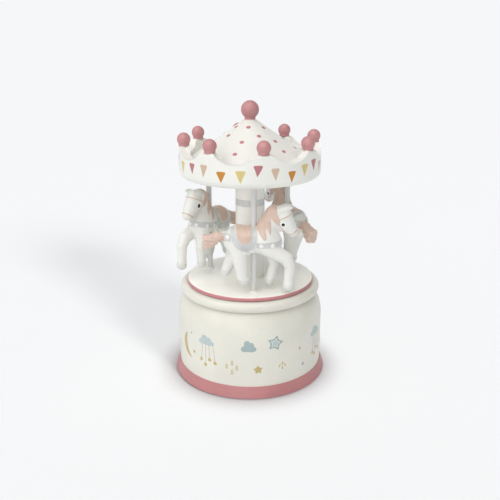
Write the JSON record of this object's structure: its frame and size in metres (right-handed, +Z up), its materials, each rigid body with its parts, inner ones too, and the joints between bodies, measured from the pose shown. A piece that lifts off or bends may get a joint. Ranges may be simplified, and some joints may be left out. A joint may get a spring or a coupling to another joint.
{
  "type": "carousel music box",
  "caption": "Wind-up carousel music box: horses on poles circle a column under a scalloped canopy, on a round base that holds a comb and pinned-cylinder movement.",
  "frame": {"origin": "centre of the resting face, on the axis that the carousel turns about", "axes": "+Z up along the turning axis; -Y is the front"},
  "size_m": [0.106, 0.106, 0.187],
  "materials": {
    "cream_paint": "turned wood with a satin cream lacquer",
    "rose_paint": "turned wood with a satin dusty-rose lacquer",
    "horse_resin": "cast resin, hand-painted",
    "pole_paint": "pale silver-grey paint",
    "pad_rubber": "matt",
    "base_board": "fibreboard",
    "steel": "turned",
    "comb_steel": "ground",
    "spring_steel": "blued",
    "nickel_plate": "satin nickel plate",
    "brass": "machined",
    "nylon": "moulded"
  },
  "bodies": {
    "base": {"foot_ring": "rose_paint", "anti_slip_pads": "pad_rubber", "base_housing": "cream_paint", "bottom_cover": "base_board", "base_screws": "steel", "bearing_bush": "brass", "thrust_washer": "nylon", "bedplate": "nickel_plate", "movement_screws": "steel", "inner_bearing_plate": "nickel_plate", "wheel_bearing_plate": "nickel_plate", "governor_bracket": "nickel_plate", "barrel_bridge": "nickel_plate", "bridge_screws": "steel", "comb": "comb_steel", "comb_rail": "nickel_plate", "comb_screws": "steel", "click_pin": "steel"},
    "carousel": {"turntable": "cream_paint", "drive_shaft": "steel", "centre_column": "cream_paint", "pole_1": "pole_paint", "pole_2": "pole_paint", "pole_3": "pole_paint", "pole_collars": "pole_paint", "horse_1": "horse_resin", "horse_2": "horse_resin", "horse_3": "horse_resin", "canopy": "cream_paint", "finial_ball": "rose_paint", "rim_balls": "rose_paint", "spring_barrel": "nickel_plate", "barrel_cap": "nickel_plate", "mainspring": "spring_steel"},
    "cylinder": {"pinned_cylinder": "brass", "cylinder_arbor": "steel", "cylinder_pinion": "brass", "cylinder_gear": "brass"},
    "governor_wheel": {"governor_pinion": "brass", "wheel_arbor": "steel", "worm_wheel": "brass"},
    "governor": {"worm_shaft": "steel", "air_brake_fan": "nylon"},
    "winding": {"winding_arbor": "steel", "ratchet_wheel": "steel", "winding_key": "nickel_plate"},
    "click": {"click_pawl": "steel"}
  },
  "joints": [
    {"name": "carousel_spin", "type": "hinge", "parent": "base", "child": "carousel", "pos_m": [0, 0, 0.065], "axis": [0, 0, 1], "continuous": true},
    {"name": "cylinder_spin", "type": "hinge", "parent": "base", "child": "cylinder", "pos_m": [0.027, 0, 0.02782], "axis": [1, 0, 0], "continuous": true},
    {"name": "wheel_spin", "type": "hinge", "parent": "base", "child": "governor_wheel", "pos_m": [0.033, -0.0128, 0.02782], "axis": [1, 0, 0], "continuous": true},
    {"name": "governor_spin", "type": "hinge", "parent": "base", "child": "governor", "pos_m": [0.032, -0.01979, 0.0278], "axis": [0, 0, 1], "continuous": true},
    {"name": "winding_turn", "type": "hinge", "parent": "base", "child": "winding", "pos_m": [0, 0, 0.01], "axis": [0, 0, 1], "range_deg": [0, 1440]},
    {"name": "click_lift", "type": "hinge", "parent": "base", "child": "click", "pos_m": [-0.0082, 0.0074, 0.0195], "axis": [0, 0, -1], "range_deg": [0, 12], "stiffness_Nm_per_rad": 0.0005, "springref_deg": -5.73}
  ],
  "couplings": [
    {"joint": "cylinder_spin", "follows": "carousel_spin", "ratio": 3},
    {"joint": "wheel_spin", "follows": "carousel_spin", "ratio": -9},
    {"joint": "governor_spin", "follows": "carousel_spin", "ratio": -180}
  ]
}
